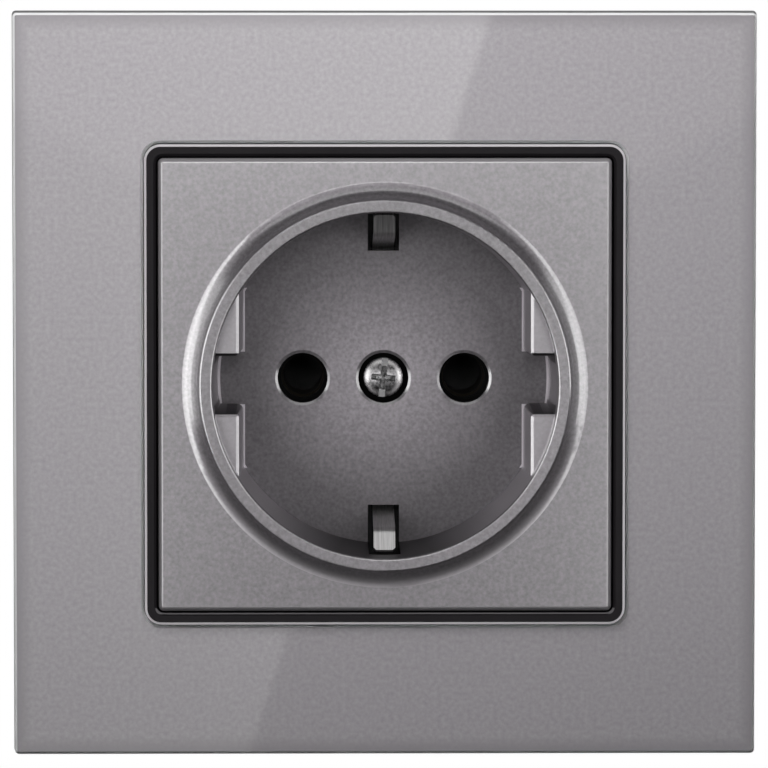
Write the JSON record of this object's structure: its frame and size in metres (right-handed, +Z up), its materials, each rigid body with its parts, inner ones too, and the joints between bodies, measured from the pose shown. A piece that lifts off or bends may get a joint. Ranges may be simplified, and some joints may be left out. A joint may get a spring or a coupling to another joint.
{
  "type": "wall socket",
  "caption": "Flush-mounted earthed round wall socket with a recessed well, a raised collar, a black bezel and a square grey glass front panel.",
  "frame": {"origin": "axis of the socket's well where it meets the wall's face, which is also the middle of the slots for the wall box's screws", "axes": "+X to the right seen from the room, +Z up, +Y into the wall, so the front faces -Y"},
  "size_m": [0.086, 0.0416, 0.086],
  "materials": {
    "grey_glass": "toughened glass painted metallic grey on its back, polished bevels",
    "bonding_tape": "foam bonding tape",
    "carrier_plastic": "moulded, grey",
    "black_plastic": "moulded, satin black",
    "grey_metallic_cover": "moulded, sprayed with fine metallic grey paint",
    "plated_steel": "bright nickel plate",
    "galvanised_steel": "zinc plate",
    "nickel_spring": "nickel-plated spring strip",
    "base_plastic": "moulded, dark grey",
    "brass": "rolled brass"
  },
  "bodies": {
    "root": {"glass_panel": "grey_glass", "glass_adhesive": "bonding_tape", "panel_carrier": "carrier_plastic", "window_bezel": "black_plastic", "socket_cover": "grey_metallic_cover", "cover_screw": "plated_steel", "screw_insert": "brass", "support_plate": "galvanised_steel", "plate_rivets": "plated_steel", "socket_base": "base_plastic", "rear_cover": "base_plastic", "rear_cover_screws": "plated_steel", "earth_strap": "nickel_spring", "contact_left": "brass", "contact_right": "brass", "clamp_left": "galvanised_steel", "clamp_right": "galvanised_steel", "clamp_earth": "galvanised_steel", "clamp_screw_left": "plated_steel", "clamp_screw_right": "plated_steel", "clamp_screw_earth": "plated_steel"}
  },
  "joints": []
}
